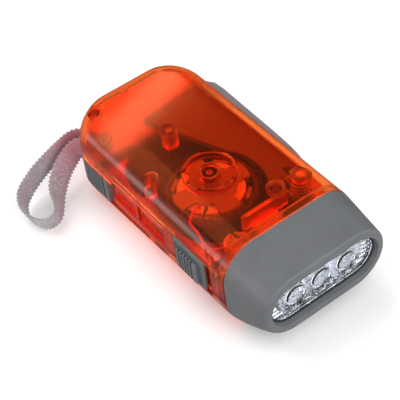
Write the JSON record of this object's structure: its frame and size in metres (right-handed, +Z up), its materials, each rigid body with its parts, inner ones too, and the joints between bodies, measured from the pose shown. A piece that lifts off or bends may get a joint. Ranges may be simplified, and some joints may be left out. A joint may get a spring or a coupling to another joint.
{
  "type": "hand press flashlight",
  "caption": "Hand-press dynamo flashlight: clear orange casing, side squeeze lever, geared flywheel generator, wide LED head, slide switch, lock latch and wrist strap.",
  "frame": {"origin": "middle of the flat underside of the casing", "axes": "+X along the beam towards the lens, +Y towards the squeeze lever, +Z up through the clear top shell"},
  "size_m": [0.11, 0.0796, 0.0332],
  "materials": {
    "shell_clear_orange": "clear tinted polystyrene, polished",
    "case_grey": "moulded ABS, satin",
    "lever_grey": "moulded ABS, satin",
    "lens_clear": "clear moulded window",
    "reflector_chrome": "vacuum-metallised plastic",
    "led_clear": "clear epoxy",
    "board": "phenolic board",
    "component_black": "moulded epoxy",
    "component_white": "moulded plastic",
    "cell_sleeve": "heat-shrink sleeve",
    "gear_black": "moulded acetal",
    "gear_white": "moulded acetal",
    "steel": "zinc-plated steel",
    "magnet": "sintered ferrite",
    "copper_winding": "enamelled copper wire",
    "lead_red": "insulated wire",
    "lead_black": "insulated wire",
    "strap_webbing": "flat braided cord"
  },
  "bodies": {
    "casing": {"top_shell": "shell_clear_orange", "bottom_shell": "shell_clear_orange", "bezel": "case_grey", "screw_1": "steel", "screw_2": "steel", "screw_3": "steel", "lens": "lens_clear", "reflector": "reflector_chrome", "led_1": "led_clear", "led_2": "led_clear", "led_3": "led_clear", "led_board": "board", "rectifier_bridge": "component_black", "capacitor": "component_white", "rechargeable_cell": "cell_sleeve", "switch_body": "component_white", "lever_pin": "steel", "lever_spring": "steel", "drive_axle": "steel", "idler_axle": "steel", "rotor_axle": "steel", "rotor_bearing": "gear_black", "upper_claw_plate": "steel", "lower_claw_plate": "steel", "coil_bobbin": "component_white", "coil_winding": "copper_winding", "coil_lead_a": "lead_red", "coil_lead_b": "lead_black", "switch_lead": "lead_red", "wrist_strap": "strap_webbing"},
    "lever": {"lever": "lever_grey"},
    "drive": {"drive_wheel": "gear_black", "ratchet_pinion": "gear_white"},
    "idler": {"idler_gear": "gear_white"},
    "rotor": {"flywheel": "gear_black", "magnet_ring": "magnet"},
    "switch": {"switch_slider": "case_grey"},
    "latch": {"lock_latch": "case_grey"}
  },
  "joints": [
    {"name": "flywheel_spin", "type": "hinge", "parent": "casing", "child": "rotor", "pos_m": [0.003, -0.0044, 0.018], "axis": [0, 0, 1], "range_deg": [0, 598.9]},
    {"name": "drive_spin", "type": "hinge", "parent": "casing", "child": "drive", "pos_m": [-0.0211, -0.0029, 0.0134], "axis": [0, 0, 1], "range_deg": [0, 180]},
    {"name": "idler_spin", "type": "hinge", "parent": "casing", "child": "idler", "pos_m": [-0.00107, 0.00517, 0.0134], "axis": [0, 0, 1], "range_deg": [-514, 0]},
    {"name": "lever_swing", "type": "hinge", "parent": "casing", "child": "lever", "pos_m": [0.0229, 0.0161, 0.0152], "axis": [0, 0, -1], "range_deg": [0, 20], "stiffness_Nm_per_rad": 0.3, "springref_deg": 40.11, "deforming": ["lever_spring"]},
    {"name": "switch_slide", "type": "slide", "parent": "casing", "child": "switch", "axis": [1, 0, 0], "range_m": [0, 0.003]},
    {"name": "latch_slide", "type": "slide", "parent": "casing", "child": "latch", "axis": [1, 0, 0], "range_m": [0, 0.0025]}
  ],
  "couplings": [
    {"joint": "drive_spin", "follows": "flywheel_spin", "ratio": 0.3},
    {"joint": "idler_spin", "follows": "flywheel_spin", "ratio": -0.85714},
    {"joint": "lever_swing", "follows": "flywheel_spin", "ratio": 0.03339}
  ]
}
